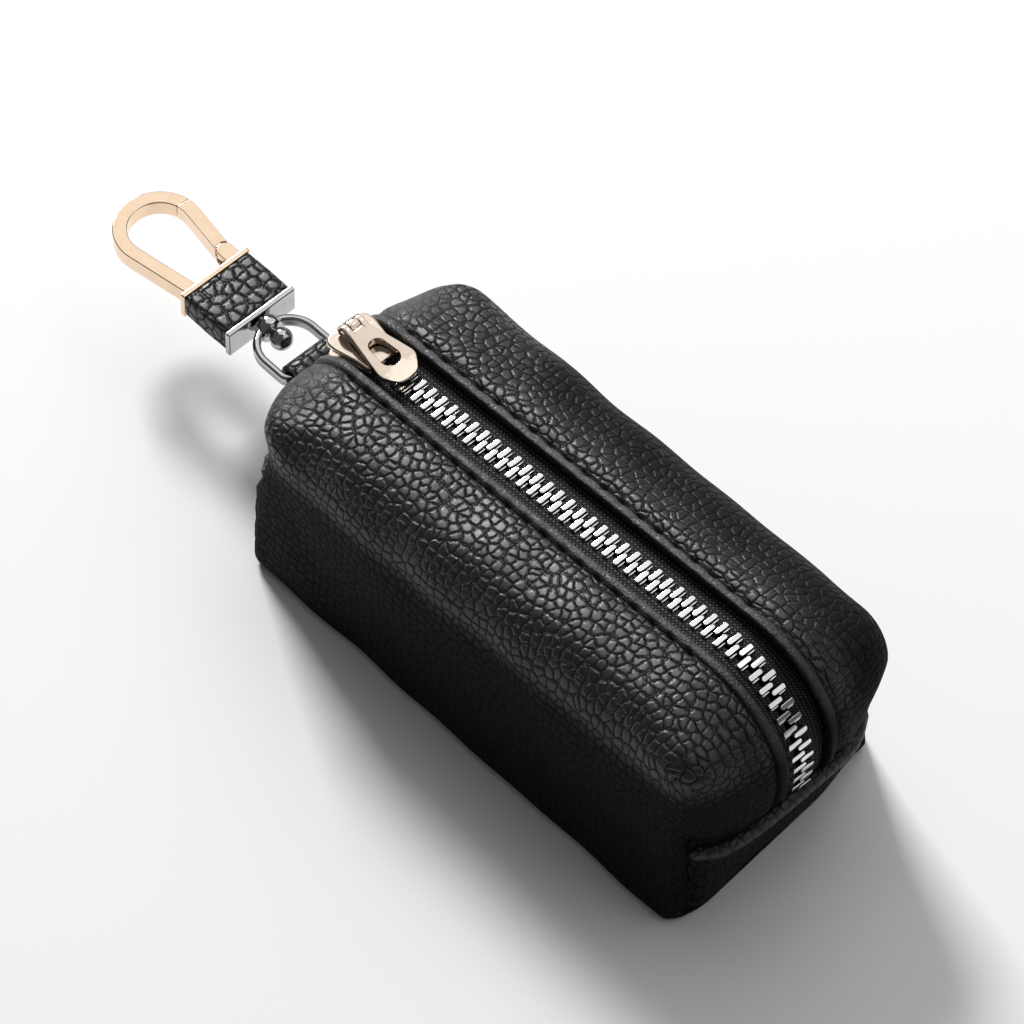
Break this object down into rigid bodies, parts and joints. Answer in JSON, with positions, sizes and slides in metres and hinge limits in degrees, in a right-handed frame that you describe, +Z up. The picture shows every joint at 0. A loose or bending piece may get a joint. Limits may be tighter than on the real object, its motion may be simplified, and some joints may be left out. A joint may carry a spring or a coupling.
{
  "type": "key case",
  "caption": "Zipped soft leather key case with a swivelling spring-gate clip on a D ring; the slider opens the top for keys held on an inner ring.",
  "frame": {"origin": "centre of the flat base, on the surface the case lies on", "axes": "+X along the zip towards its open end, the clip at -X; +Z up; -Y is the side that faces the viewer"},
  "size_m": [0.1738, 0.05, 0.0468],
  "materials": {
    "leather": "pebbled",
    "tape": "woven",
    "lining": "woven",
    "thread": "twisted",
    "teeth": "polished",
    "pale_gold": "polished",
    "chrome": "polished",
    "steel": "bright"
  },
  "bodies": {
    "case": {"left_panel": "leather", "right_panel": "leather", "bottom_panel": "leather", "lining": "lining", "left_stitches": "thread", "right_stitches": "thread", "far_tape": "tape", "far_teeth": "teeth", "loop_end_tape": "tape", "loop_tab": "leather", "inner_strap": "leather"},
    "left_zip": {"left_tape": "tape", "left_teeth": "teeth"},
    "right_zip": {"right_tape": "tape", "right_teeth": "teeth"},
    "slider": {"slider_body": "pale_gold"},
    "pull": {"pull_tab": "pale_gold"},
    "ring": {"d_ring": "chrome"},
    "clip": {"swivel_post": "chrome", "clip_frame": "pale_gold", "leather_sleeve": "leather", "gate_pin": "steel", "gate_spring": "steel"},
    "gate": {"gate": "pale_gold"},
    "inner_ring": {"key_ring": "chrome"}
  },
  "joints": [
    {"name": "slider_travel", "type": "slide", "parent": "case", "child": "slider", "axis": [0.9984, 0, 0.0558], "range_m": [0, 0.082]},
    {"name": "left_zip_open", "type": "hinge", "parent": "case", "child": "left_zip", "pos_m": [0.03744, 0, 0.04339], "axis": [-0.0558, 0, 0.9984], "range_deg": [0, 3.8]},
    {"name": "right_zip_open", "type": "hinge", "parent": "case", "child": "right_zip", "pos_m": [0.03744, 0, 0.04339], "axis": [-0.0558, 0, 0.9984], "range_deg": [-3.8, 0]},
    {"name": "pull_flip", "type": "hinge", "parent": "slider", "child": "pull", "pos_m": [-0.05412, 0, 0.04198], "axis": [0, -1, 0], "range_deg": [0, 150]},
    {"name": "ring_swing", "type": "hinge", "parent": "case", "child": "ring", "pos_m": [-0.0652, 0, 0.0206], "axis": [0, 1, 0], "range_deg": [-80, 80]},
    {"name": "clip_swivel", "type": "hinge", "parent": "ring", "child": "clip", "pos_m": [-0.0764, 0, 0.0206], "axis": [1, 0, 0], "continuous": true},
    {"name": "gate_open", "type": "hinge", "parent": "clip", "child": "gate", "pos_m": [-0.0939, 0.00535, 0.0206], "axis": [0, 0, 1], "range_deg": [0, 25], "stiffness_Nm_per_rad": 0.005, "springref_deg": -17.19},
    {"name": "key_ring_swing", "type": "hinge", "parent": "case", "child": "inner_ring", "pos_m": [-0.043, 0, 0.0056], "axis": [0, -1, 0], "range_deg": [0, 70]}
  ],
  "couplings": [
    {"joint": "left_zip_open", "follows": "slider_travel", "rad_per_m": 0.798},
    {"joint": "right_zip_open", "follows": "slider_travel", "rad_per_m": -0.798}
  ]
}
